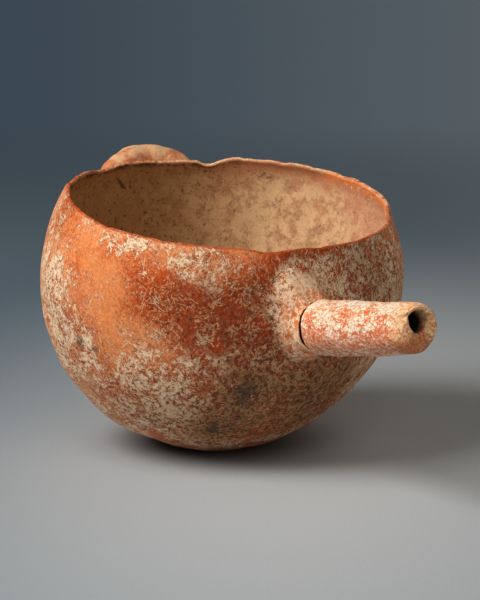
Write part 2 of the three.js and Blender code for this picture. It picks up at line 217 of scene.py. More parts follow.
bowl = spun("bowl", bowl_profile, BOWL_SIDES)
true_points = points_of(bowl)
true_radius = np.linalg.norm(true_points, axis=1)
true_angle = np.arcsin(true_points[:, 2] / true_radius)
into_wall = (BELLY_RADIUS - true_radius) / wall_at(true_angle)
below_rim = RIM_HEIGHT - true_points[:, 2]
bowl_turn, _ = round_axis(true_points)
bowl_points = true_points + hand_push(true_points)


def nicked(points, turns, depths, width, depth, at_turn):
    """Knocks the crest down in a short stretch, less and less below it."""
    away = (turns - at_turn + math.pi) % (2 * math.pi) - math.pi
    share = np.exp(-((away * BELLY_RADIUS / width) ** 2) - (depths / (2.5 * depth + MM)) ** 2)
    points[:, 2] -= depth * share


for _ in range(RIM_NICKS):
    nicked(bowl_points, bowl_turn, below_rim, dice.uniform(*RIM_NICK_WIDTHS),
           dice.uniform(*RIM_NICK_DEPTHS), dice.uniform(0, 2 * math.pi))
for turn_deg, width, depth in RIM_CHIPS:
    nicked(bowl_points, bowl_turn, below_rim, width * MM, depth * MM, math.radians(turn_deg))

place_points(bowl, bowl_points)

# Where the bowl's finish differs from place to place: degrees round, height over the belly
# line and reach, in millimetres, and percent. Below zero is smoother than the rest.
WORN_PLACES = (
    (287, 22, 13, -50), (297, 12, 15, -50), (312, 9, 16, -50), (326, 1, 14, -35), (337, 9, 14, -15),
    (285, 27, 5, 50), (292, 26, 5, 50), (266, 25, 12, -30), (288, 23, 7, 20), (297, 29, 5, 50),
    (268, 6, 10, 30), (270, -10, 12, 45), (276, -26, 16, 40), (329, 16, 5, 70), (328, -3.5, 2.6, 170),
    (312, -19, 14, 42), (322, -30, 18, 45), (344, -24, 14, 35), (262, -33, 9, 50), (268, -41, 9, 60),
    (278, -49, 9, 60), (292, -55, 9, 50), (284, -28, 7, 40), (292, -34, 7, 50), (301, -40, 8, 60),
    (313, -46, 9, 50), (330, -53, 12, 40), (335, -43, 20, 40), (352, 12, 9, 40), (357, 12, 13, 70),
    (30, 16, 28, 55), (12, -22, 22, 40), (90, 0, 26, 35), (120, -20, 22, 50), (150, 12, 22, -30),
    (195, -8, 24, 30), (220, 10, 18, -35), (100, 24, 10, 40), (175, 2, 26, 30), (312, 29, 9, 30),
    (326, 30, 7, 30), (320, 22, 7, 20), (353, 10, 8, 50), (345, 19, 5, -50), (348, 25, 4, -50),
    (302, 25.5, 2.6, 180), (306, 26.5, 2.4, 180), (299, 23, 2, 120), (295, 28, 2.2, 130), (327, 24, 3, 70),
    (299, 13.5, 2.2, 140), (296, 11, 1.8, 120), (272, 16, 2, 100), (271, 10, 2, 100), (272, 4, 2, 90),
    (272, -3, 2, 80), (283, 31, 2, 140), (321, 20, 2, 110), (289, -18, 4, 120), (304, -26, 5, 80),
    (318, -36, 5, 80), (336, 30, 6, -50), (344, 29.5, 6, -60), (352, 29.5, 6, -70), (0, 29.5, 6, -70),
    (8, 30, 6, -60), (351, 20, 7, 60), (353, 25, 5, 40), (52, 8, 22, 40), (254, 0, 14, 50),
    (256, -20, 14, 40), (255, 18, 10, 30), (312, 8, 16, 15), (357, 20, 8, 70), (1, 24, 6, 40),
    (45, -22, 18, 60), (50, -38, 18, 60), (25, -36, 20, 50), (4, -16, 14, 30),
)
DEEP_PLACES = (
    (344, 20, 6, 40), (337, 8, 18, 50), (330, 6, 12, 30), (320, 4, 12, 35), (311, 7, 12, 35),
    (267, 25, 11, 25), (256, 24, 14, 40), (340, -6, 16, 45), (343, 12, 8, 40), (349, -6, 7, 50),
    (329, 29, 8, 20), (352, 30, 8, 70), (5, 30, 8, 60), (20, 27, 10, 30), (33, 16, 24, 60),
    (12, -20, 26, 60), (6, -35, 26, 70), (344, -26, 16, 40), (268, 0, 14, 30), (276, -22, 16, 30),
    (300, -36, 18, 40), (328, -30, 22, 40), (333, -48, 20, 60), (80, -10, 34, 50),
    (140, -15, 26, 40), (200, 5, 24, 30), (235, -20, 24, 30),
)
SOOT_PLACES = (
    (284, -18, 4, 80), (291, -18, 3, 70), (342, -23, 9, 70), (308, -45, 6, 60), (333, -46, 9, 60),
    (340, -38, 10, 40), (60, -6, 12, 40), (10, -24, 22, 40), (6, -42, 20, 35), (34, 14, 24, 30),
    (120, -30, 12, 60), (190, -20, 10, 50), (230, -36, 12, 50),
)
STAINS = (
    (199.8, 26.8, 0.7, 100), (199, 25.6, 0.6, 100), (198, 24.5, 0.7, 80), (197, 23.3, 0.5, 100),
    (196.2, 22.2, 0.7, 100), (195, 20.8, 0.7, 100), (194, 19.2, 0.8, 90), (193.2, 18, 0.7, 80),
    (192.2, 16.6, 0.9, 90), (190.4, 14.8, 0.8, 80), (189, 13, 0.7, 70), (188.2, 11, 0.6, 60),
    (139, 23, 3.5, 25), (135, 23, 2.5, 20), (196.5, 8, 1.9, 50), (204.7, 9.9, 1.8, 50),
    (200.5, 18.4, 1.6, 40), (163, 16.7, 2, 40), (159.4, 10.2, 2.2, 40), (206, 26, 1.6, 50),
    (213, 23, 1.4, 50), (133, 11, 4, 20), (128, 8, 4, 15), (140, 4, 4, 20), (122, 16, 3, 15),
)
STAIN_DEPTH = 0.955
EVEN_WEAR = 0.22
FAR_SIDE_DEG = 152
SHADED_OLIVE_SIDE_DEG = 225
MAUVE_SIDE_DEG = 90
MAUVE_HEIGHT = 20 * MM
MAUVE_REACH = 24 * MM


def brush(piece, name, amounts):
    """An amount of something on each point of a piece, for its finish to read."""
    held = piece.data.attributes.new(name, "FLOAT", "POINT")
    held.data.foreach_set("value", amounts.astype(np.float32))


def amount_at(points, places, depth=1):
    """How much a table of places adds up to at each point; depth is their share of the ball."""
    amounts = np.zeros(len(points))
    for turn_deg, above, reach, amount in places:
        amounts += amount / 100 * near(points, on_ball(turn_deg, above * MM) * depth, reach * MM)
    return amounts


def brush_places(piece, points):
    """Wear, deep colour and soot by their places, on any piece that joins the bowl's wall."""
    for name, places in (("worn", WORN_PLACES), ("deep", DEEP_PLACES), ("soot", SOOT_PLACES)):
        brush(piece, name, amount_at(points, places))


brush_places(bowl, true_points)
brush(bowl, "inner", into_wall)
brush(bowl, "below_rim", below_rim / MM)
brush(bowl, "far_side", 0.5 + 0.5 * np.cos(bowl_turn - math.radians(FAR_SIDE_DEG)))
brush(bowl, "stain", amount_at(true_points, STAINS, STAIN_DEPTH))
brush(bowl, "mauve", near(true_points, on_ball(MAUVE_SIDE_DEG, MAUVE_HEIGHT), MAUVE_REACH))
# Partly painted shade: the inner wall on the left, which lies in shade, is marked for a darker olive.
brush(bowl, "olive_shade", smooth(np.cos(bowl_turn - math.radians(SHADED_OLIVE_SIDE_DEG)), -0.15, 0.85))
bowl.data.transform(vessel)
ground_points = points_of(bowl)
ground_points[:, 2] = np.maximum(ground_points[:, 2], 0)
place_points(bowl, ground_points)

BUMP_STRENGTH = 0.8


class Value:
    """A number, colour or direction that varies over a surface. Sums on it add Math nodes."""

    def __init__(self, paint, socket):
        self.paint = paint
        self.socket = socket

    def maths(self, operation, *values):
        return self.paint.node("ShaderNodeMath", {"operation": operation}, dict(enumerate(values)))

    def __add__(self, other):
        return self.maths("ADD", self, other)

    __radd__ = __add__

    def __sub__(self, other):
        return self.maths("SUBTRACT", self, other)

    def __rsub__(self, other):
        return self.maths("SUBTRACT", other, self)

    def __mul__(self, other):
        return self.maths("MULTIPLY", self, other)

    __rmul__ = __mul__

    def __abs__(self):
        return self.maths("ABSOLUTE", self)

    def most(self, other):
        return self.maths("MAXIMUM", self, other)

    def between(self, low, high):
        """Zero up to low, one from high, smooth between; the other way round if high is less."""
        inputs = {"Value": self, "From Min": low, "From Max": high}
        return self.paint.node("ShaderNodeMapRange", {"interpolation_type": "SMOOTHSTEP"}, inputs)

    def other(self, output):
        return Value(self.paint, self.socket.node.outputs[output])


class Paint:
    """A finish: a material's nodes, built up from fields of values."""

    def __init__(self, name):
        self.material = bpy.data.materials.new(name)
        self.material.use_nodes = True
        self.tree = self.material.node_tree
        self.shader = self.tree.nodes["Principled BSDF"]
        self.coords = self.tree.nodes.new("ShaderNodeTexCoord")
        place = Value(self, self.coords.outputs["Object"])
        self.place = self.vector("SCALE", place, out=0, Scale=1 / MM)
        self.normal = Value(self, self.coords.outputs["Normal"])

    def node(self, kind, settings, inputs, out=0):
        """A node of that kind. Its settings are set first, then its sockets are fed."""
        made = self.tree.nodes.new(kind)
        for key, setting in settings.items():
            setattr(made, key, setting)
        for key, value in inputs.items():
            self.feed(made.inputs[key], value)
        return Value(self, made.outputs[out])

    def feed(self, socket, value):
        if isinstance(value, Value):
            self.tree.links.new(value.socket, socket)
        else:
            socket.default_value = value

    def vector(self, operation, *values, out=0, **inputs):
        inputs = {**dict(enumerate(values)), **inputs}
        return self.node("ShaderNodeVectorMath", {"operation": operation}, inputs, out)

    def brushed(self, name):
        return self.node("ShaderNodeAttribute", {"attribute_name": name}, {}, "Fac")

    def clouds(self, size, detail=4, roughness=0.6, at=None, distortion=0, out="Fac"):
        inputs = {"Vector": at or self.place, "Scale": 1 / size, "Detail": detail}
        inputs |= {"Roughness": roughness, "Distortion": distortion}
        return self.node("ShaderNodeTexNoise", {}, inputs, out)

    def noise(self, *shape, **more):
        """Clouds of that size in millimetres, as a swing to both sides of zero."""
        return self.clouds(*shape, **more) - 0.5

    def over(self, colour, *coats):
        """A colour with coats laid over it in turn: how thick each is, and its colour."""
        for share, coat in coats:
            inputs = {0: share, 6: colour, 7: coat}
            colour = self.node("ShaderNodeMix", {"data_type": "RGBA"}, inputs, 2)
        return colour

    def finished(self, colour, roughness, height, relief):
        """The material, once its shader has a colour, a roughness and bumps that high."""
        bump = {"Height": height, "Distance": relief, "Strength": BUMP_STRENGTH}
        bump = self.node("ShaderNodeBump", {}, bump)
        return self.shaded({"Base Color": colour, "Roughness": roughness, "Normal": bump})

    def shaded(self, inputs):
        """The material, once these sockets of its shader are fed."""
        for name, value in inputs.items():
            self.feed(self.shader.inputs[name], value)
        return self.material

    def moved(self, amount, size):
        """The place, shifted a little from spot to spot, so that lines on it wander."""
        drift = self.vector("SUBTRACT", self.clouds(size, 2, out="Color"), (0.5, 0.5, 0.5))
        return self.vector("ADD", self.place, self.vector("SCALE", drift, Scale=2 * amount))

    def strokes(self, cell, at):
        """Cells that each have a direction of their own: across it, along it, and a chance."""
        middle = self.node("ShaderNodeTexVoronoi", {}, {"Vector": at, "Scale": 1 / cell}, "Position")
        random = middle.other("Color")
        way = self.vector("SUBTRACT", random, (0.5, 0.5, 0.5))
        side = self.vector("NORMALIZE", self.vector("CROSS_PRODUCT", self.normal, way))
        line = self.vector("CROSS_PRODUCT", side, self.normal)
        away = self.vector("SUBTRACT", at, middle)
        across = self.vector("DOT_PRODUCT", away, side, out="Value")
        along = self.vector("DOT_PRODUCT", away, line, out="Value")
        chance = self.node("ShaderNodeTexWhiteNoise", {}, {"Vector": random}, "Value")
        return across, along, chance

    def scratches(self, cell, width, reach, share_of_cells, at):
        """Short thin scratches, one at most in each cell, each in a direction of its own."""
        across, along, chance = self.strokes(cell, at)
        there = chance.between(1 - share_of_cells, 1 - share_of_cells / 2)
        return abs(across).between(width, width * 0.35) * abs(along).between(reach, reach * 0.5) * there

    def streaks(self, cell, length, width):
        """Rubbed streaks, in bundles that each run in a direction of their own."""
        across, along, chance = self.strokes(cell, self.moved(cell / 5, cell / 3))
        parts = {"X": along * (1 / length), "Y": across * (1 / width), "Z": chance * 50}
        at = self.node("ShaderNodeCombineXYZ", {}, parts, "Vector")
        return self.noise(1, 4, 0.65, at)


def shade(red, green, blue):
    """A colour as the eye names it, from 0 to 255, turned to the light that the nodes mix."""
    parts = [part / 255 for part in (red, green, blue)]
    return (*[part / 12.92 if part < 0.04 else ((part + 0.055) / 1.055) ** 2.4 for part in parts], 1)


SLIP_ORANGE = shade(242, 144, 82)
SLIP_RED = shade(206, 84, 22)
SLIP_DEEP = shade(166, 62, 14)
SLIP_DARK = shade(98, 38, 14)
WORN_CREAM = shade(250, 222, 186)
WORN_TAN = shade(228, 160, 110)
SLIP_THIN = shade(234, 154, 108)
SLIP_THIN_DEEP = shade(158, 92, 54)
WORN_BROWN = shade(156, 110, 66)
SMEAR_PINK = shade(253, 186, 138)
SMEAR_ORANGE = shade(226, 118, 54)
SOOT = shade(58, 54, 48)
DULL_BROWN = shade(112, 82, 54)
CRACK_SHADE = shade(24, 16, 12)
SLIP_SHINE = 0.2
SLIP_RELIEF = 0.16 * MM
CREST_CLAY = shade(240, 184, 130)
INNER_CLAY = shade(230, 187, 140)
INNER_BROWN = shade(148, 100, 66)
INNER_DARK = shade(92, 62, 36)
INNER_RED = shade(190, 108, 70)
INNER_OLIVE_SHADE = shade(140, 102, 52)
INNER_PINK = shade(218, 146, 108)
INNER_MAUVE = shade(216, 146, 114)
INNER_STAIN_AND_SHADE = shade(72, 48, 28)


def fired_slip(paint, deep, smear, soot, broad, flaking, chipped, mottling):
    """Slip as it left the fire: orange, red or nearly black, and browned by soot."""
    redder = broad + 0.5 * mottling + 0.5 * chipped + 0.25 * deep
    freckles = (paint.noise(1.5, 2) + 0.3 * chipped + 0.05 * deep - 0.05 * smear).between(0.08, 0.13)
    return paint.over(
        SLIP_ORANGE,
        (redder.between(-0.08, 0.14), SLIP_RED),
        ((deep + 1.2 * broad + 0.5 * mottling).between(0.1, 0.9), SLIP_DEEP),
        ((deep + 1.6 * flaking).between(0.8, 1.4) * 0.6, SLIP_DARK),
        (smear * 0.8, SMEAR_PINK),
        (freckles * (0.15 + 0.5 * deep.between(0, 0.6)), SLIP_DARK),
        ((soot + 0.8 * mottling).between(0.1, 0.6) * 0.7, DULL_BROWN),
    )


def inside_over(paint, colour, broad, chipped, mottling, grain):
    """The bare inside and the worn crest of the rim, laid over the colour of the outside."""
    below = paint.brushed("below_rim")
    far = paint.brushed("far_side")
    olive_shade = paint.brushed("olive_shade")
    mauve = paint.brushed("mauve")
    blotches = paint.noise(5, 4, 0.66)
    specks = paint.noise(1.6, 3, 0.66).between(0.08, 0.14) * (blotches + 0.3 * olive_shade).between(-0.1, 0.15)
    lapped = (below + 26 * blotches + 6 * mottling).between(8, 0)
    # Painted shade: a dark band just under the rim's crest, on the inside.
    shade_under_crest = below.between(0.7, 1.3) * below.between(4.5, 1.5)
    banded = olive_shade * (blotches + 0.4 * chipped).between(-0.04, 0.04)
    turned_in = (below + 8 * chipped).between(5.5, 3.5) * mauve.between(0.12, 0.35)
    inside = paint.over(
        INNER_CLAY,
        ((blotches + 0.4 * mottling).between(-0.08, 0.16) * 0.62, INNER_BROWN),
        ((broad + 0.5 * blotches).between(-0.02, 0.14) * 0.6, INNER_PINK),
        ((mauve + 1.6 * blotches).between(0.2, 1.0) * 0.7, INNER_MAUVE),
        ((mauve + 4 * mottling).between(0.8, 1.4) * 0.6, INNER_CLAY),
        (grain.between(0, 0.14) * 0.2, INNER_BROWN),
        # Partly the clay's tone, partly painted shade and bounce light: darker olive over the shaded left
        # inner wall.
        (olive_shade * 0.8, INNER_OLIVE_SHADE),
        (specks * (0.5 + 0.35 * olive_shade), INNER_DARK),
        (lapped * (0.9 - 0.8 * olive_shade), INNER_RED),
        ((paint.brushed("stain") + 1.2 * mottling).between(0.15, 0.45) * 0.8, INNER_STAIN_AND_SHADE),
        # Painted shade under the crest, heavier on the far side; on the olive side it takes the stain
        # colour.
        (shade_under_crest * (blotches + 0.3 * far).between(0, 0.4) * 0.4, INNER_DARK),
        (shade_under_crest * banded * 0.8, INNER_STAIN_AND_SHADE),
        (turned_in * 0.9, SLIP_ORANGE),
        (turned_in * (mottling + 0.4 * chipped).between(0.06, 0.12), WORN_CREAM),
    )
    crest = paint.over(
        SLIP_DEEP,
        ((far - 0.5 * olive_shade + 1.6 * blotches).between(0.2, 0.6), CREST_CLAY),
        ((0.15 * far + chipped).between(0.12, 0.07) * 0.85, SLIP_RED),
        ((mottling + 0.3 * chipped + 0.05 * far).between(-0.03, -0.07) * 0.8, SLIP_DARK),
        ((0.1 * far + mottling).between(0.1, 0.16) * 0.9, WORN_CREAM),
    )
    on_crest = (below + 1.2 * mottling).between(0.7, 0.2)
    return paint.over(colour, (paint.brushed("inner").between(0.5, 0.9), inside), (on_crest * 0.8, crest))


def slip_finish(name, has_inside=False):
    """Red slip over paler clay: rubbed smooth, scratched, and flaked off where it is worn."""
    paint = Paint(name)
    smear = paint.brushed("smear")
    worn = paint.brushed("worn") + 1.3 * smear + EVEN_WEAR
    deep = paint.brushed("deep") - 0.6 * smear
    soot = paint.brushed("soot")

    wandering = paint.moved(0.5, 3)
    long_ones = paint.scratches(9, 0.24, 3.4, 0.45, wandering)
    short_ones = paint.scratches(4.3, 0.22, 1.6, 0.5, wandering)
    ticks = paint.scratches(2.1, 0.24, 0.6, 0.45, paint.place)
    lines = long_ones.most(short_ones * 0.9).most(ticks * 0.8)
    hairlines = paint.scratches(4.8, 0.3, 2.5, 0.8, wandering)
    hairlines = hairlines.most(paint.scratches(3.2, 0.3, 1.6, 0.7, paint.moved(0.8, 5)))

    broad = paint.noise(34, 3)
    flaking = paint.noise(11, 8, 0.7, distortion=0.4)
    chipped = paint.noise(4.4, 8, 0.76, distortion=0.3)
    mottling = paint.noise(1.3, 5, 0.78)
    grain = paint.noise(0.6, 2)
    brushed = paint.streaks(6, 3.2, 0.42)

    # How worn each spot is, and where that takes the slip off: in flakes, splashes and scratches.
    thin = worn + 3.6 * flaking + 0.8 * broad
    level = thin.between(-0.5, 1.1)
    fine = 0.5 * chipped + 0.28 * brushed + 0.25 * mottling + 0.12 * grain
    edge = fine + 0.1 * level + 0.02 * lines
    splashes = (thin - 1.2 * smear + 6 * fine).between(1.4, 1.55)
    scratched = lines * (thin + 0.6 * deep).between(-1.5, -0.1)
    bared = edge.between(0.07, 0.08).most(splashes).most(scratched * 0.85)
    bright = edge.between(0.084, 0.1).most(splashes * 0.7).most(scratched * 0.7)
    dulled = (deep + 0.8 * mottling).between(0.2, 1.0)
    islands = paint.noise(9) + 0.25 * chipped + 0.05 * deep - 0.1 * soot
    kept = islands.between(0.05, 0.1) * (1.1 - level).between(0, 0.6)

    # Slip that is rubbed thin, dusty or scratched, but not through.
    thinned = paint.over(SLIP_THIN, (dulled, SLIP_THIN_DEEP))
    pale = paint.over(WORN_TAN, (dulled * 0.35, WORN_BROWN))
    film = (level + 2 * grain + 6 * fine).between(0, 1)
    hairs = (brushed + 0.4 * grain + 0.04 * level).between(0.07, 0.14)
    dust = (paint.noise(1.4, 2) + 0.3 * brushed + 0.04 * level + 0.04 * deep).between(0.1, 0.14)
    rubbed = (0.15 + level + 0.9 * deep).between(0, 1) * (1 - 0.85 * kept)
    fresh = 0.06 + 0.6 * (mottling + broad).between(0.08, 0.2)
    gaps = (brushed + 0.5 * mottling - 0.02 * level).between(-0.06, -0.12)
    colour = paint.over(
        fired_slip(paint, deep, smear, soot, broad, flaking, chipped, mottling),
        (film * (0.6 - 0.5 * deep.between(0, 0.7)), thinned),
        (hairs * (0.1 + 0.5 * level) * (1 - 0.6 * kept), thinned),
        (dust.most(hairlines) * rubbed * 0.85, pale),
        (hairlines * rubbed * fresh, WORN_CREAM),
        (gaps * (0.2 + 0.5 * level), SLIP_DARK),
    )

    # Bare clay where the slip is gone, with pits in it, then slip left on the smeared clay.
    clay = paint.over(
        WORN_TAN,
        (bright * (0.95 - 0.25 * dust), WORN_CREAM),
        ((flaking + 0.5 * mottling).between(0, 0.08) * smear * 0.9, SMEAR_PINK),
        (dulled * (0.55 + 0.35 * soot.between(0, 0.4)), WORN_BROWN),
    )
    pitted = (paint.noise(1.8, 5, 0.74) + 0.04 * deep).between(0.05, 0.1) * level
    pit = paint.over(SLIP_RED, ((grain + 0.25 * deep).between(0, 0.12), SLIP_DARK))
    left = (flaking + 0.6 * mottling).between(-0.02, -0.08) * smear.between(0.3, 0.8)
    colour = paint.over(
        colour,
        (bared * 0.95 * (1 - 0.7 * kept), clay),
        (pitted * (1 - splashes * 0.6) * 0.85, pit),
        (left * 0.8, SMEAR_ORANGE),
    )
    colour = paint.vector("SCALE", colour, Scale=1 + 0.9 * paint.noise(1.2, 2))
    blackened = (soot + 1.3 * paint.noise(2, 5, 0.7) + 1.4 * chipped).between(0.5, 0.85)
    # Painted shadow: the faces marked as lying in the crack are painted nearly black.
    colour = paint.over(colour, (blackened * 0.8, SOOT), (paint.brushed("crack"), CRACK_SHADE))
    roughness = 0.41 + 0.4 * bared + 0.2 * level + 0.1 * grain

    if has_inside:
        colour = inside_over(paint, colour, broad, chipped, mottling, grain)
        roughness = roughness + 0.35 * paint.brushed("inner").between(0.5, 0.9)
    paint.shaded({"Specular IOR Level": SLIP_SHINE})
    height = 0.5 * bared + 0.4 * mottling + 0.25 * grain - 0.8 * scratched - 0.6 * pitted
    return paint.finished(colour, roughness, height, SLIP_RELIEF)


bowl.data.materials.append(slip_finish("burnished_red_slip", has_inside=True))

# The spout: a straight roll of clay with a bore, thinned at its root to a tenon that passes
# through the wall. It has sagged a little, its lip is bare, rounded and chipped on two sides,
# and its slip is rubbed down to a pink cream.
SPOUT_ROOT_HEIGHT = 2 * MM
SPOUT_SLOPE = math.radians(19.4)
SPOUT_LENGTH = 65.3 * MM
SPOUT_RADII = (9.75 * MM, 9.6 * MM, 8.5 * MM)
SPOUT_TIP_ROUND = 3.4 * MM
SPOUT_SAG = 0.5 * MM
SPOUT_LIFT = 0.4 * MM
SPOUT_EDGE_ROUND = 0.5 * MM
BORE_RADIUS = 4.5 * MM
BORE_ROUND = 0.9 * MM
MOUTH_BEND = 24 * MM
MOUTH_RISE = 2.2 * MM
MOUTH_PINCH = 0.1
TENON_RADIUS = 7.2 * MM
TENON_PAST_WALL = 5.5 * MM
TENON_GAP = 0.3 * MM
COLLAR_REACH = 10.5 * MM
SPOUT_CRACK = 0.6 * MM
CHIPS = ((240, 2.4 * MM, 1.1 * MM), (75, 1.4 * MM, 0.9 * MM), (42, 9 * MM, 2.2 * MM))
CRACK_WAVES = ((3, 1, 0.3 * MM), (7, 0, 0.16 * MM), (17, 2, 0.08 * MM))
CRACK_FADE = 6 * MM
SPOUT_SIDES = 160
SPOUT_STEPS = 66
TENON_STEPS = 16
EDGE_STEPS = 4
TIP_STEPS = 10
LIP_STEPS = 5
BORE_STEPS = 40


def seat_on_wall(turn_deg, height, across, slope):
    """A place on the wall, with Z leading outward and X downward."""
    out = math.sqrt(BELLY_RADIUS**2 - height**2 - across**2)
    turn = Matrix.Rotation(math.radians(turn_deg), 4, "Z")
    return turn @ Matrix.Translation((out, across, height)) @ Matrix.Rotation(QUARTER - slope, 4, "Y")


def through(matrix, points):
    return points @ np.array(matrix.to_3x3()).T + np.array(matrix.translation)


spout_seat = seat_on_wall(0, SPOUT_ROOT_HEIGHT, 0, SPOUT_SLOPE)
tenon_end = -BELLY_WALL - TENON_PAST_WALL
shoulder = COLLAR_REACH + SPOUT_CRACK
tip = COLLAR_REACH + SPOUT_LENGTH
round_start = tip - SPOUT_TIP_ROUND
root_radius, middle_radius, tip_radius = SPOUT_RADII
swell_pull = 2 * middle_radius - (root_radius + tip_radius) / 2


def side_point(share):
    flat = root_radius * (1 - share) ** 2 + 2 * swell_pull * share * (1 - share) + tip_radius * share**2
    return (flat, shoulder + (round_start - shoulder) * share)


tenon_rise = (shoulder - tenon_end) / TENON_STEPS
tenon_points = [(TENON_RADIUS, tenon_end + tenon_rise * i) for i in range(TENON_STEPS + 1)]
spout_profile = [(BORE_RADIUS, tenon_end), *tenon_points]
for turn in quarter(EDGE_STEPS, 0):
    flat = root_radius - SPOUT_EDGE_ROUND * (1 - math.sin(turn))
    spout_profile.append((flat, shoulder + SPOUT_EDGE_ROUND * (1 - math.cos(turn))))
spout_profile += [side_point(i / SPOUT_STEPS) for i in range(1, SPOUT_STEPS + 1)]
end_flat = tip_radius - BORE_RADIUS - BORE_ROUND
for turn in quarter(TIP_STEPS):
    flat = tip_radius - end_flat * (1 - math.cos(turn))
    spout_profile.append((flat, round_start + SPOUT_TIP_ROUND * math.sin(turn)))
for turn in quarter(LIP_STEPS):
    flat = BORE_RADIUS + BORE_ROUND * (1 - math.sin(turn))
    spout_profile.append((flat, tip - BORE_ROUND * (1 - math.cos(turn))))
bore_fall = (tip - tenon_end) / BORE_STEPS
spout_profile += [(BORE_RADIUS, tip - bore_fall * i) for i in range(1, BORE_STEPS + 1)]

spout = spun("spout", spout_profile, SPOUT_SIDES)
straight = points_of(spout)
spout_angle, spout_flat = round_axis(straight)
spout_share = np.clip((straight[:, 2] - shoulder) / (tip - shoulder), 0, 1)


def crack_wave(angle):
    """The break runs unevenly round the tube, and both its sides follow the same line."""
    return sum(height * np.sin(count * angle + start) for count, start, height in CRACK_WAVES)


spout_points = straight.copy()
outside = smooth(spout_flat, TENON_RADIUS, TENON_RADIUS + MM)
at_crack = outside * (1 - smooth(straight[:, 2], shoulder, shoulder + CRACK_FADE))
spout_points[:, 2] += crack_wave(spout_angle) * at_crack
spout_points[:, 0] += SPOUT_SAG * np.sin(math.pi * spout_share**1.3) - SPOUT_LIFT * spout_share**2
unevenness = lumps(straight * 1.3) + 0.4 * lumps(straight * 3)
spout_points[:, :2] += straight[:, :2] * (unevenness * outside / root_radius)[:, None]
in_mouth = smooth(spout_flat, BORE_RADIUS + 3 * BORE_ROUND, BORE_RADIUS + BORE_ROUND)
in_mouth = in_mouth * smooth(straight[:, 2], tip - MOUTH_BEND, tip)
spout_points[:, :2] *= 1 - MOUTH_PINCH * in_mouth[:, None]
spout_points[:, 0] -= MOUTH_RISE * in_mouth
for turn_deg, half_width, depth in CHIPS:
    turn = math.radians(turn_deg)
    side = np.array((-math.sin(turn), math.cos(turn)))
    out = np.array((math.cos(turn), math.sin(turn)))
    across = straight[:, :2] @ side + 0.25 * lumps(straight * 6)
    facing = smooth(straight[:, :2] @ out, 0.5 * MM, 2.5 * MM)
    notch = np.clip(1 - np.abs(across) / half_width, 0, 1)
    near_tip = smooth(straight[:, 2], tip - 2.6 * depth, tip - 0.3 * depth)
    spout_points[:, 2] -= depth * notch * facing * near_tip
place_points(spout, spout_points)
along_wall = through(spout_seat, spout_points)
brush_places(spout, along_wall)
brush(spout, "to_tip", (tip - straight[:, 2]) / MM)
brush(spout, "in_bore", smooth(spout_flat, BORE_RADIUS + 0.6 * MM, BORE_RADIUS))
brush(spout, "underside", smooth(straight[:, 0], -2 * MM, 8 * MM))
brush(spout, "flank", near(straight[:, :2], np.array((3, -8)) * MM, 6 * MM))
spout.data.transform(vessel @ spout_seat)

SPOUT_CREAM = shade(253, 232, 206)
SPOUT_PINK = shade(236, 156, 104)
SPOUT_ORANGE = shade(216, 100, 38)
SPOUT_KHAKI = shade(206, 166, 120)
BARE_CLAY = shade(244, 196, 142)
BARE_BROWN = shade(184, 108, 58)
BORE_SHADE = shade(34, 22, 14)
SPOUT_RELIEF = 0.2 * MM

tube_axis = (vessel @ spout_seat).to_3x3().col[2]


def spout_finish():
    """Slip rubbed to a thin pink cream, with orange left in patches, and a bare clay lip."""
    paint = Paint("rubbed_spout_slip")
    to_tip = paint.brushed("to_tip")
    under = paint.brushed("underside")
    ticks = paint.scratches(2.2, 0.22, 1.0, 0.6, paint.moved(0.4, 3))
    drawn = paint.vector("SCALE", tuple(tube_axis), Scale=to_tip * 0.5)
    drawn = paint.vector("ADD", paint.place, drawn)
    broad = paint.noise(6, 5, 0.7, drawn, distortion=0.3)
    mottling = paint.noise(1.1, 4, 0.78, drawn)
    grain = paint.noise(0.7, 3, 0.7)
    pits = paint.noise(0.9, 3, 0.7)

    left = broad + 0.9 * mottling + 0.4 * grain + 0.25 * paint.brushed("flank") + 0.15 * under
    flecks = (paint.noise(1.2, 4, 0.8, drawn) + 0.05 * under).between(0.04, 0.09)
    lip = (to_tip + 6 * broad + 12 * mottling - 3 * under).between(8, 1)
    clay = paint.over(
        BARE_CLAY,
        ((mottling + 0.9 * under).between(0.4, 0.8), BARE_BROWN),
        ((grain + mottling).between(0.02, 0.12) * 0.7, SPOUT_ORANGE),
        ((pits + 0.5 * mottling).between(0.02, 0.1) * 0.6, BARE_BROWN),
    )
    pale = paint.over(SPOUT_CREAM, (under * 0.4, SPOUT_KHAKI))
    colour = paint.over(
        SPOUT_CREAM,
        ((mottling + 0.7 * broad).between(-0.04, 0.04), SPOUT_PINK),
        ((grain - 0.6 * broad).between(0.04, 0.12) * 0.6, SPOUT_KHAKI),
        (left.between(0.12, 0.16) * 0.9, SPOUT_ORANGE),
        ((broad + 0.4 * mottling + 0.1 * under).between(0.16, 0.26) * 0.7, SLIP_RED),
        ((pits + 0.1 * under).between(0.1, 0.17) * 0.7, BARE_BROWN),
        (ticks.most(flecks * (0.4 + 0.5 * under)) * 0.85, pale),
        (lip * 0.85, clay),
    )
    colour = paint.vector("SCALE", colour, Scale=1 + 1.8 * paint.noise(1, 2))
    # Painted shade: the bore is painted dark from a few millimetres inside the lip onward.
    colour = paint.over(colour, (paint.brushed("in_bore") * to_tip.between(2.5, 9), BORE_SHADE))
    height = 0.4 * mottling + 0.25 * grain - 0.4 * ticks + (0.8 * grain + 0.4) * lip
    return paint.finished(colour, 0.65 + 0.2 * mottling + 0.2 * lip, height, SPOUT_RELIEF)


spout.data.materials.append(spout_finish())

# The hole in the wall that takes the tenon. It was cut while the clay was damp, a little wider
# than the tenon, and it is cut here by a plain round bar through the wall.
HOLE_SIDES = 96
HOLE_LENGTH = 6 * BELLY_WALL

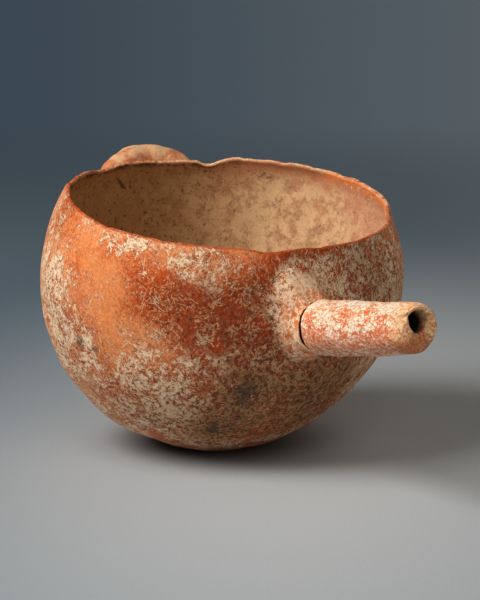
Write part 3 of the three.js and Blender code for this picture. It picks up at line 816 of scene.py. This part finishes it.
hole_radius = TENON_RADIUS + TENON_GAP
bpy.ops.object.select_all(action="DESELECT")
bpy.ops.mesh.primitive_cylinder_add(vertices=HOLE_SIDES, radius=hole_radius, depth=HOLE_LENGTH)
cutter = bpy.context.active_object
cutter.data.transform(vessel @ spout_seat)
hole = bowl.modifiers.new("tenon_hole", "BOOLEAN")
hole.operation = "DIFFERENCE"
hole.solver = "EXACT"
hole.object = cutter
bpy.ops.object.select_all(action="DESELECT")
bpy.context.view_layer.objects.active = bowl
bowl.select_set(True)
bpy.ops.object.modifier_apply(modifier=hole.name)
bpy.data.objects.remove(cutter)

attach(bowl, "root")
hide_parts("bowl_shell")
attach(spout, "root")
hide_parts("spout_tube")

# The collar: soft clay smeared round the root of the spout and feathered out over the wall,
# drawn up in a ridge toward the rim. It shrank away from the tube in the fire, leaving a crack
# between them; the collar's face inside the crack is painted dark as a painted shadow.
COLLAR_SIDE_FOOT = 14 * MM
COLLAR_RIDGE_FOOT = 24 * MM
COLLAR_RIDGE_TOWARD = math.radians(205)
COLLAR_RIDGE_POWER = 4.5
COLLAR_RIDGE_FULLNESS = 0.68
FEATHER = -0.35 * MM
IN_WALL_DEPTH = 3 * MM
LIP_EDGE = 0.12 * MM
CRACK_WIDTHS = (
    (0, 0.2), (150, 0.4), (178, 1.2), (190, 1.6), (206, 1.4), (212, 0.1),
    (218, 0.3), (224, 1.6), (250, 1.3), (300, 1.2), (325, 0.45), (360, 0.2),
)
FLARE_STEPS = 34
SMEAR_SIDES = 180


def ball_along(seat, flat, ball_radius):
    """How far along a seat's axis a ball round the bowl's centre is met, beside the axis."""
    start = through(seat, flat)
    along = start @ np.array(seat.to_3x3().col[2])
    return np.sqrt(along**2 - (start**2).sum(axis=1) + ball_radius**2) - along


def wall_along(seat, beside, angle, ball_radius):
    """The same for the hand-shaped wall, by how far beside the axis and the angle round it."""
    flat = np.stack((beside * np.cos(angle), beside * np.sin(angle), 0 * angle), axis=1)
    met = through(seat, flat + np.outer(ball_along(seat, flat, ball_radius), (0, 0, 1)))
    pushed = (hand_push(met) * met).sum(axis=1) / np.linalg.norm(met, axis=1)
    return ball_along(seat, flat, ball_radius + pushed)


def smeared(name, seat, bore, lip, side_foot, foot_at, reach_at, bend_at, ridge_at):
    """Clay smeared round a tube: a hollow curve from the lip by the tube out to the wall."""
    profile = [(bore, -1), (side_foot, -1)]
    for turn in reversed(quarter(FLARE_STEPS, 0)):
        profile.append((side_foot - (side_foot - lip) * math.cos(turn), 1 - math.sin(turn)))
    profile += [(lip - LIP_EDGE, 1), (bore, 1), (bore, -1)]
    piece = spun(name, [(flat, level * MM) for flat, level in profile], SMEAR_SIDES)
    points = points_of(piece)
    angle, flat = round_axis(points)
    level = points[:, 2] / MM
    grown = lip + (flat - lip) * (foot_at(angle) - lip) / (side_foot - lip)
    wide = np.where(flat > lip, grown, flat)
    wall = wall_along(seat, wide, angle, BELLY_RADIUS)
    lip_wall = wall_along(seat, np.full_like(angle, lip), angle, BELLY_RADIUS)
    reach = reach_at(angle)
    over = (reach - lip_wall - FEATHER) * np.abs(level) ** (1 - ridge_at(angle)) + FEATHER
    high = np.where(level > -0.5, np.where(flat > lip, wall + over, reach), wall - IN_WALL_DEPTH)
    smear_points = np.stack((wide * np.cos(angle), wide * np.sin(angle) + bend_at(high), high), axis=1)
    place_points(piece, smear_points)
    on_wall = through(seat, smear_points)
    brush_places(piece, on_wall)
    brush(piece, "smear", smooth((foot_at(angle) - wide) / (foot_at(angle) - lip), 0.1, 0.9))
    # Painted shadow: the faces inside the lip, down in the crack, are marked to be painted dark.
    brush(piece, "crack", (flat < lip - LIP_EDGE / 2) * 1.0)
    piece.data.transform(vessel @ seat)
    return piece


def ridge_share(angle):
    return ((1 + np.cos(angle - COLLAR_RIDGE_TOWARD)) / 2) ** COLLAR_RIDGE_POWER


def collar_foot(angle):
    return COLLAR_SIDE_FOOT + (COLLAR_RIDGE_FOOT - COLLAR_SIDE_FOOT) * ridge_share(angle)


def collar_reach(angle):
    turns, widths = zip(*CRACK_WIDTHS)
    return shoulder - np.interp(np.degrees(angle) % 360, turns, widths) * MM + crack_wave(angle)


def collar_ridge(angle):
    return COLLAR_RIDGE_FULLNESS * ridge_share(angle)


def unbent(high):
    return np.zeros_like(high)


collar = smeared("spout_collar_clay", spout_seat, hole_radius, root_radius,
                 COLLAR_SIDE_FOOT, collar_foot, collar_reach, unbent, collar_ridge)
collar.data.materials.append(slip_finish("smeared_collar_slip"))
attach(collar, "root")
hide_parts("spout_collar")

# The inner ring: clay pressed round the end of the tenon, inside the bowl, by a finger put in
# through the mouth. It is bare clay, like the rest of the inside.
RING_FOOT = 13.5 * MM
RING_THICK = 3 * MM
RING_STEPS = 16
RING_RELIEF = 0.2 * MM

ring_profile = [(hole_radius, -RING_THICK)]
for turn in quarter(RING_STEPS):
    fall = (RING_THICK - FEATHER) * (1 - math.cos(turn))
    ring_profile.append((hole_radius + (RING_FOOT - hole_radius) * math.sin(turn), fall - RING_THICK))
ring_profile += [(RING_FOOT, IN_WALL_DEPTH), (hole_radius, IN_WALL_DEPTH), (hole_radius, -RING_THICK)]
ring = spun("spout_inner_clay", ring_profile, SMEAR_SIDES)
ring_points = points_of(ring)
ring_angle, ring_flat = round_axis(ring_points)
ring_points[:, 2] += wall_along(spout_seat, ring_flat, ring_angle, BELLY_RADIUS - BELLY_WALL)
place_points(ring, ring_points)
ring.data.transform(vessel @ spout_seat)


def inner_finish():
    """Bare tan clay with soft brown blotches."""
    paint = Paint("bare_inner_clay")
    blotches = paint.noise(13, 5, 0.6)
    mottling = paint.noise(3.4, 7, 0.68)
    specks = paint.noise(2.2, 4, 0.7).between(0.12, 0.24)
    colour = paint.over(
        INNER_CLAY,
        (blotches.between(-0.04, 0.2) * 0.8, INNER_BROWN),
        (specks * 0.5, INNER_DARK),
    )
    return paint.finished(colour, 0.875 + 0.15 * mottling, mottling, RING_RELIEF)


ring.data.materials.append(inner_finish())
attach(ring, "root")
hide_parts("spout_inner_ring")

# The handle: a round roll of clay bent to a loop and tilted up, its two ends pressed into the
# wall opposite the spout. The slip is rubbed off the top of the arch by hands.
HANDLE_TOWARD_DEG = 177.3
HANDLE_BELOW_RIM = 21.3 * MM
HANDLE_TILT = math.radians(43)
HANDLE_RADIUS = 5.5 * MM
HANDLE_HALF_SPACING = 21.3 * MM
HANDLE_REACH = 21.4 * MM
HANDLE_SOCKET = 2.4 * MM
LEG_LENGTH = 12 * MM
SOCKETS_BELOW = 6 * MM
LEG_STEPS = 10
ARCH_STEPS = 110
ROLL_SIDES = 64

root_height = RIM_HEIGHT - HANDLE_BELOW_RIM
root_seats = [
    seat_on_wall(HANDLE_TOWARD_DEG, root_height, side * HANDLE_HALF_SPACING, HANDLE_TILT) for side in (-1, 1)
]
loop_seat = root_seats[0].copy()
loop_seat.translation = (root_seats[0].translation + root_seats[1].translation) / 2


def drawn_by(rise):
    for _ in range(LEG_STEPS):
        bpy.ops.mesh.extrude_region_move(TRANSFORM_OT_translate={"value": (0, 0, rise / LEG_STEPS)})


bpy.ops.object.select_all(action="DESELECT")
bpy.ops.mesh.primitive_circle_add(vertices=ROLL_SIDES, radius=HANDLE_RADIUS, fill_type="NGON",
                                  location=(0, -HANDLE_HALF_SPACING, -LEG_LENGTH))
handle = just_added("handle_roll")
bpy.ops.object.transform_apply()
bpy.ops.object.mode_set(mode="EDIT")
bpy.ops.mesh.select_all(action="SELECT")
drawn_by(LEG_LENGTH)
bpy.ops.mesh.spin(steps=ARCH_STEPS, angle=math.pi, center=(0, 0, 0), axis=(1, 0, 0))
drawn_by(-LEG_LENGTH)
closed_up()

roll = points_of(handle)
stretch = np.where(roll[:, 2] > 0, HANDLE_REACH / HANDLE_HALF_SPACING, 1)
path_angle = np.arctan2(np.maximum(roll[:, 2], 0), roll[:, 1])
path = np.stack((np.zeros(len(roll)), HANDLE_HALF_SPACING * np.cos(path_angle),
                 np.where(roll[:, 2] > 0, HANDLE_HALF_SPACING * np.sin(path_angle), roll[:, 2])), axis=1)
uneven = 1 + (0.9 * lumps(path * 2) + 0.6 * lumps(roll * 3)) / HANDLE_RADIUS
roll = path + (roll - path) * uneven[:, None]
roll[:, 2] *= stretch

# What would reach deeper than a socket in the wall is drawn back to its floor.
socket_floor = ball_along(loop_seat, roll * (1, 1, 0), BELLY_RADIUS - HANDLE_SOCKET)
drawn_back = np.maximum(roll[:, 2], socket_floor)
roll[:, 2] = np.where(roll[:, 2] < SOCKETS_BELOW, drawn_back, roll[:, 2])
place_points(handle, roll)
brush_places(handle, through(loop_seat, roll))
brush(handle, "on_top", smooth(roll[:, 2], 12 * MM, 26 * MM))
handle.data.transform(vessel @ loop_seat)

HANDLE_CREAM = shade(222, 176, 130)
HANDLE_ORANGE = shade(206, 122, 76)
HANDLE_BROWN = shade(160, 108, 70)
HANDLE_RELIEF = 0.14 * MM


def handle_finish():
    """Slip worn off the arch by hands, with orange left along its sides."""
    paint = Paint("handled_slip")
    top = paint.brushed("on_top")
    broad = paint.noise(10, 6, 0.66, distortion=0.4)
    mottling = paint.noise(4.5, 4, 0.6)
    scratched = paint.scratches(5, 0.28, 3.5, 0.6, paint.moved(0.5, 4))
    rubbed = (0.3 * mottling + 0.16 * top - broad).between(0, 0.12)
    rubbed = rubbed.most(mottling.between(0.04, 0.18) * 0.7)
    colour = paint.over(
        HANDLE_ORANGE,
        ((broad + 0.4 * mottling).between(0.06, 0.18), HANDLE_BROWN),
        (rubbed.most(scratched * 0.4) * 0.9, HANDLE_CREAM),
    )
    height = 0.6 * mottling - 0.6 * scratched + 0.3 * rubbed
    return paint.finished(colour, 0.5 + 0.3 * rubbed, height, HANDLE_RELIEF)


handle.data.materials.append(handle_finish())
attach(handle, "root")
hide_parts("loop_handle")

# The pads: clay smeared round the two roots of the handle, so that the roll grows out of the
# wall. They are coated with the bowl's slip.
PAD_REACH = 9 * MM
PAD_LIP_WALL = 0.5 * MM
PAD_LOWER_FOOT = 13 * MM
PAD_UPPER_FOOT = 10 * MM
PAD_BORE = 0.7 * HANDLE_RADIUS


def pad_foot(angle):
    return PAD_LOWER_FOOT + (PAD_UPPER_FOOT - PAD_LOWER_FOOT) * (1 - np.cos(angle)) / 2


def pad_reach(angle):
    return np.full_like(angle, PAD_REACH)


def loop_bend(high):
    share = np.clip(high / HANDLE_REACH, 0, 0.999)
    return HANDLE_HALF_SPACING * (1 - np.sqrt(1 - share**2))


pad_material = slip_finish("smeared_pad_slip")
for seat, side, name in zip(root_seats, (-1, 1), ("right", "left")):
    pad = smeared(f"handle_{name}_clay", seat, PAD_BORE, HANDLE_RADIUS + PAD_LIP_WALL, PAD_LOWER_FOOT,
                  pad_foot, pad_reach, lambda high, side=side: -side * loop_bend(high), unbent)
    pad.data.materials.append(pad_material)
    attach(pad, "root")
    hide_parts(f"handle_pad_{name}")

# The floor: plain pale grey paper under the bowl, painted with light and shade: a pale pool of
# painted light in front of the bowl, painted shade toward the back and left, less dark at the
# far right, and a painted contact shadow where the bowl rests.
FLOOR_RADIUS = 2.4
FLOOR_PALE = shade(190, 193, 195)
FLOOR_FAR_SHADE = shade(86, 104, 118)
FLOOR_FAR_RIGHT_LIT = shade(134, 146, 156)
FLOOR_TOOTH = shade(150, 150, 150)
FLOOR_CONTACT_SHADOW = shade(40, 38, 36)
LIT_POOL_TURN = math.radians(54)
PALE_TURN_BACK = math.radians(62.5)
LIT_POOL_CENTRE = (32, 40, 0)
LIT_POOL_SIZE = (200, 420)
LIT_POOL_RANGE = (-0.05, 1.35)
SIDE_RANGE = (-0.5, 1.4)
CONTACT_SHADOW_REACH = (62, 12)
FLOOR_ENDS = (1250, 420)

bpy.ops.object.select_all(action="DESELECT")
bpy.ops.mesh.primitive_circle_add(vertices=96, radius=FLOOR_RADIUS, fill_type="NGON", location=(0, 0, 0))
floor = just_added("floor")
paint = Paint("pale_floor")
# The pool of painted light: an ellipse turned about Z, palest at its centre.
from_centre = paint.vector("SUBTRACT", paint.place, LIT_POOL_CENTRE)
wide, deep = LIT_POOL_SIZE
across = (math.cos(LIT_POOL_TURN) / wide, math.sin(LIT_POOL_TURN) / wide, 0)
back = (-math.sin(LIT_POOL_TURN) / deep, math.cos(LIT_POOL_TURN) / deep, 0)
across = paint.vector("DOT_PRODUCT", from_centre, across, out="Value")
back = paint.vector("DOT_PRODUCT", from_centre, back, out="Value")
squared = across * across + back * back
pool_fade = squared.maths("SQRT", squared).between(*LIT_POOL_RANGE)
away = paint.vector("LENGTH", paint.place, out="Value")
tooth = paint.noise(1.2, 5, 0.6)
colour = paint.over(
    FLOOR_PALE,
    (tooth.between(-0.15, 0.2) * 0.12, FLOOR_TOOTH),
    # Painted shade beyond the pool of painted light, painted lighter at the far right.
    (pool_fade, paint.over(FLOOR_FAR_SHADE, (across.between(*SIDE_RANGE), FLOOR_FAR_RIGHT_LIT))),
    # Painted contact shadow: the floor is painted dark close round where the bowl rests.
    (away.between(*CONTACT_SHADOW_REACH) * 0.85, FLOOR_CONTACT_SHADOW),
)
inputs = {"Base Color": colour, "Roughness": 0.9, "Alpha": away.between(*FLOOR_ENDS)}
floor.data.materials.append(paint.shaded(inputs))

# The backdrop: dark grey-blue paper, far behind, with painted light making it a little paler on
# the right. It glows, though it is no lamp: only the camera sees it, and it lends no light.
BACKDROP_LEFT = shade(58, 70, 80)
BACKDROP_LIT_RIGHT = shade(86, 94, 100)
BACKDROP_SIZE = 3.2
BACKDROP_BEHIND = 1.7
BACKDROP_RANGE = (-340, 440)

bpy.ops.object.select_all(action="DESELECT")
bpy.ops.mesh.primitive_plane_add(size=BACKDROP_SIZE)
backdrop = just_added("backdrop")
upright = Matrix.Rotation(PALE_TURN_BACK, 4, "Z") @ Matrix.Translation((0, BACKDROP_BEHIND, 0))
backdrop.data.transform(upright @ Matrix.Rotation(QUARTER, 4, "X"))
paint = Paint("far_paper_glow")
rightward = (math.cos(PALE_TURN_BACK), math.sin(PALE_TURN_BACK), 0)
across = paint.vector("DOT_PRODUCT", paint.place, rightward, out="Value")
# Painted light: the backdrop is painted paler toward the right.
colour = paint.over(BACKDROP_LEFT, (across.between(*BACKDROP_RANGE), BACKDROP_LIT_RIGHT))
glow = paint.node("ShaderNodeEmission", {}, {"Color": colour, "Strength": 1})
clear = paint.node("ShaderNodeBsdfTransparent", {}, {})
seen = paint.node("ShaderNodeLightPath", {}, {}, "Is Camera Ray")
paint.feed(paint.tree.nodes["Material Output"].inputs["Surface"],
           paint.node("ShaderNodeMixShader", {}, {0: seen, 1: clear, 2: glow}))
backdrop.data.materials.append(paint.material)

# The light: a soft lamp high on the left of the camera and a little in front, a weak one near
# the camera, and a dim room. The camera sees a plain dark grey-blue behind the floor.
CAMERA_AZIMUTH = math.radians(62.5)
CAMERA_ELEVATION = math.radians(10)
CAMERA_DISTANCE = 0.85
AIM_RIGHT = math.radians(0.522)
AIM_DOWN = math.radians(10.765)
LENS = 130.33

camera_right = Vector((math.cos(CAMERA_AZIMUTH), math.sin(CAMERA_AZIMUTH), 0))
camera_front = Vector((math.sin(CAMERA_AZIMUTH), -math.cos(CAMERA_AZIMUTH), 0))
belly_centre = Vector((0, 0, REST_HEIGHT))
back = camera_front * math.cos(CAMERA_ELEVATION) + Vector((0, 0, math.sin(CAMERA_ELEVATION)))
bpy.ops.object.camera_add(location=belly_centre + back * CAMERA_DISTANCE)
camera = bpy.context.active_object
camera.rotation_euler = (QUARTER - AIM_DOWN, 0, CAMERA_AZIMUTH - AIM_RIGHT)
camera.data.lens = LENS
bpy.context.scene.camera = camera

# Each lamp's turn from the camera to its left and height over the bowl, in degrees, then its
# distance, size, power and colour.
LAMPS = (
    (65, 42, 1.15, 0.62, 14, (1, 0.98, 0.95)),
    (-20, 28, 1.1, 0.9, 3.2, (1, 0.97, 0.93)),
)
for left_deg, up_deg, distance, side, power, colour in LAMPS:
    to_left = math.radians(left_deg)
    up = math.radians(up_deg)
    flat_way = camera_front * math.cos(to_left) - camera_right * math.sin(to_left)
    way = flat_way * math.cos(up) + Vector((0, 0, math.sin(up)))
    bpy.ops.object.light_add(type="AREA", location=belly_centre + way * distance)
    lamp = bpy.context.active_object
    lamp.data.size = side
    lamp.data.energy = power
    lamp.data.color = colour
    lamp.rotation_euler = way.to_track_quat("Z", "Y").to_euler()

ROOM_COLOUR = shade(128, 124, 116)
ROOM_STRENGTH = 0.6
BEHIND_COLOUR = shade(66, 77, 86)
world = bpy.data.worlds.new("room")
bpy.context.scene.world = world
world.use_nodes = True
nodes = world.node_tree.nodes
links = world.node_tree.links
room = nodes["Background"]
room.inputs["Color"].default_value = ROOM_COLOUR
room.inputs["Strength"].default_value = ROOM_STRENGTH
behind = nodes.new("ShaderNodeBackground")
behind.inputs["Color"].default_value = BEHIND_COLOUR
seen = nodes.new("ShaderNodeLightPath")
chosen = nodes.new("ShaderNodeMixShader")
links.new(seen.outputs["Is Camera Ray"], chosen.inputs["Fac"])
links.new(room.outputs["Background"], chosen.inputs[1])
links.new(behind.outputs["Background"], chosen.inputs[2])
links.new(chosen.outputs["Shader"], nodes["World Output"].inputs["Surface"])

bpy.context.scene.view_settings.view_transform = "Standard"
